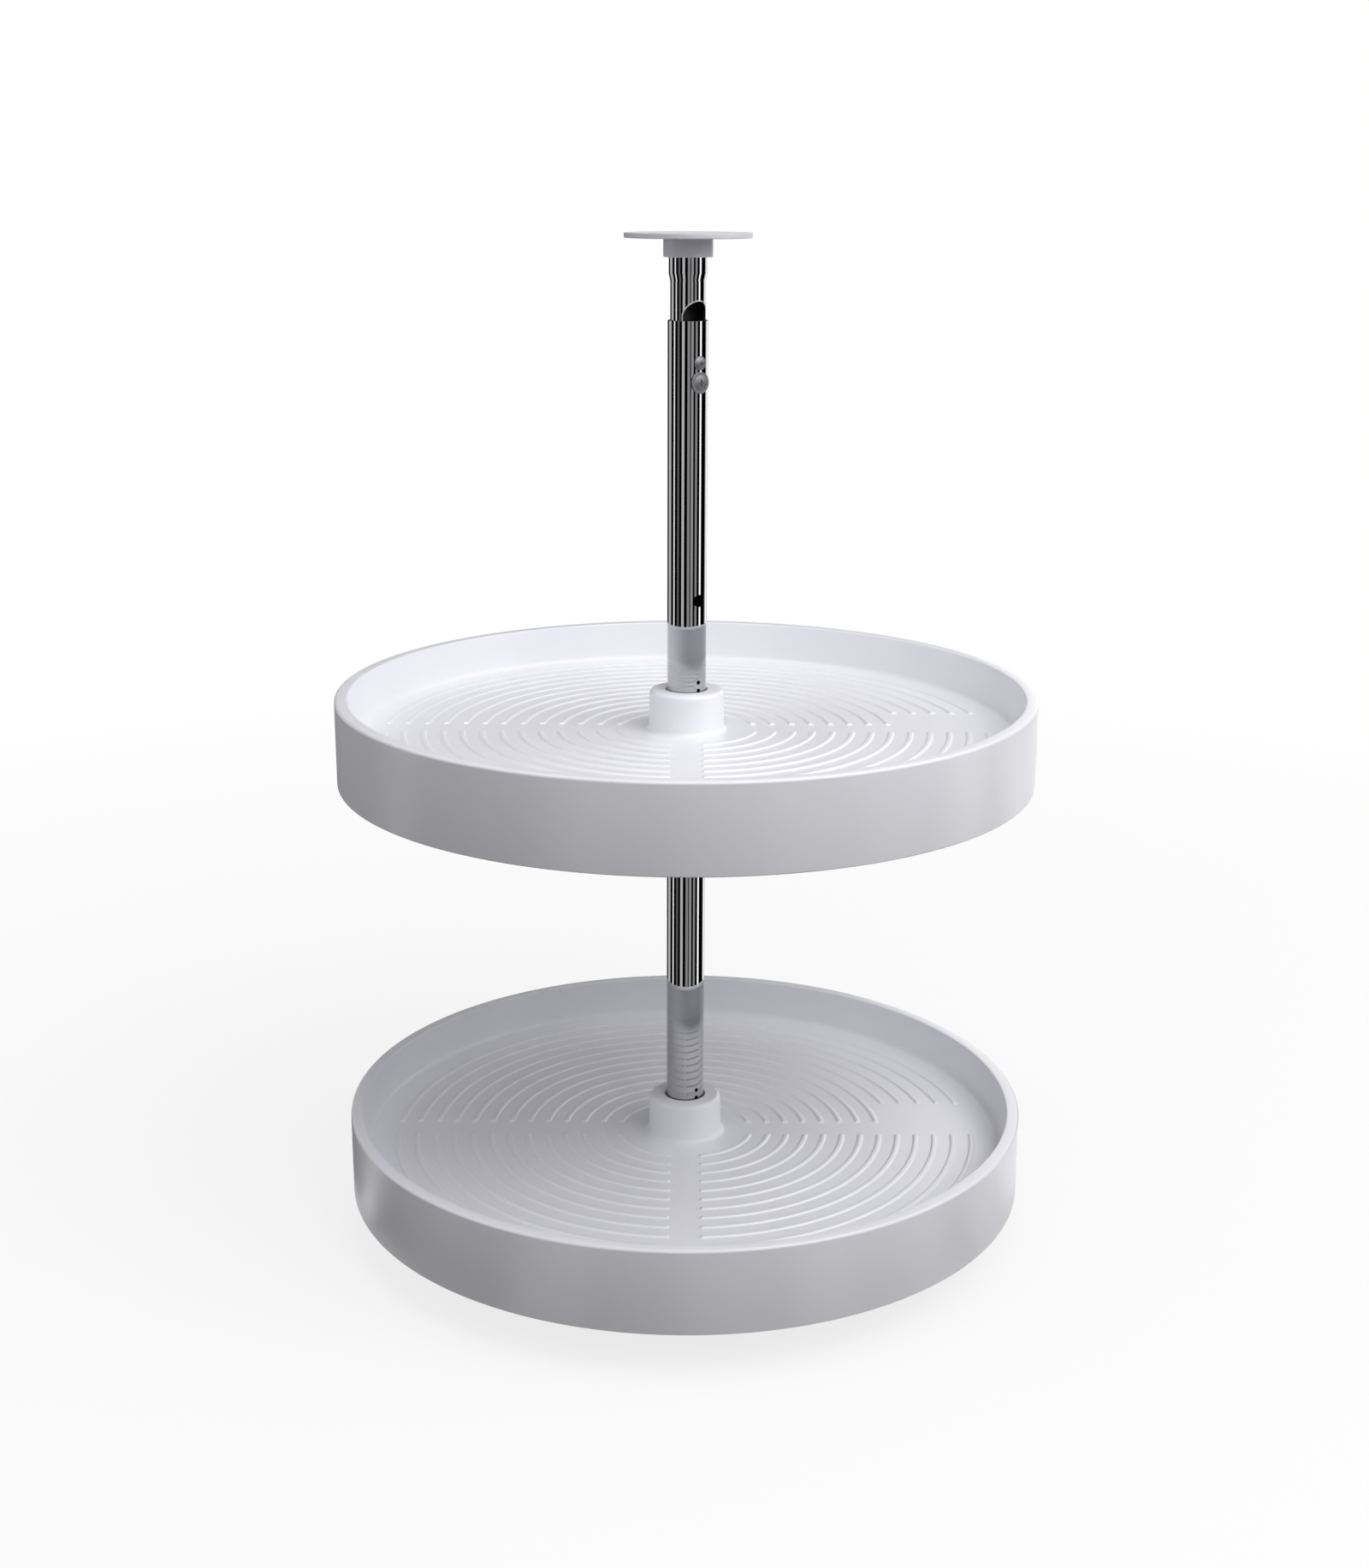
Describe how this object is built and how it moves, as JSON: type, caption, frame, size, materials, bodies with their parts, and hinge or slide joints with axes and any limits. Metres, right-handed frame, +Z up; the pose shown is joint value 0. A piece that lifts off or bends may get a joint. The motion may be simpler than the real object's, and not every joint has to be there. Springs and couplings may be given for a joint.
{
  "type": "rotating pantry shelf set",
  "caption": "Round moulded shelves with raised rims and ribbed floors, turning on a telescoping chromed shaft between a floor bracket and a ceiling bracket.",
  "frame": {"origin": "centre of the floor bracket's underside, where it lies on the cabinet floor", "axes": "+Z up along the shaft, -Y towards the front, +X to the right"},
  "size_m": [0.4572, 0.4572, 0.6604],
  "materials": {
    "shelf_plastic": "moulded white, satin gloss with a faint mould texture",
    "bracket_plastic": "moulded white, matt",
    "nylon": "natural nylon, satin",
    "chrome": "bright chrome plate",
    "zinc": "die-cast zinc, satin",
    "steel": "zinc-plated steel"
  },
  "bodies": {
    "floor_bracket": {"floor_flange": "bracket_plastic", "floor_bush": "nylon", "thrust_ball": "steel"},
    "shaft": {"shaft_tube": "chrome", "foot_plug": "zinc", "nut_plate": "zinc", "clamp_screw": "steel", "locating_screw": "steel", "lower_collar": "zinc", "lower_set_screw": "steel", "lower_thrust_washer": "nylon"},
    "lower_shelf": {"lower_shelf": "shelf_plastic", "lower_hub_bush": "nylon"},
    "shelf_collar": {"upper_collar": "zinc", "upper_set_screw": "steel", "upper_thrust_washer": "nylon"},
    "upper_shelf": {"upper_shelf": "shelf_plastic", "upper_hub_bush": "nylon"},
    "extension": {"extension_tube": "chrome", "end_cap": "nylon"},
    "ceiling_bracket": {"ceiling_flange": "bracket_plastic", "ceiling_bush": "nylon"}
  },
  "joints": [
    {"name": "shaft_spin", "type": "hinge", "parent": "floor_bracket", "child": "shaft", "pos_m": [0, 0, 0], "axis": [0, 0, 1], "continuous": true},
    {"name": "lower_shelf_spin", "type": "hinge", "parent": "shaft", "child": "lower_shelf", "pos_m": [0, 0, 0.084], "axis": [0, 0, 1], "continuous": true},
    {"name": "upper_shelf_height", "type": "slide", "parent": "shaft", "child": "shelf_collar", "axis": [0, 0, 1], "range_m": [-0.228, 0.186]},
    {"name": "upper_shelf_spin", "type": "hinge", "parent": "shelf_collar", "child": "upper_shelf", "pos_m": [0, 0, 0.3709], "axis": [0, 0, 1], "continuous": true},
    {"name": "shaft_extend", "type": "slide", "parent": "shaft", "child": "extension", "axis": [0, 0, 1], "range_m": [-0.0235, 0.104]},
    {"name": "ceiling_bracket_spin", "type": "hinge", "parent": "extension", "child": "ceiling_bracket", "pos_m": [0, 0, 0.6604], "axis": [0, 0, 1], "continuous": true}
  ]
}
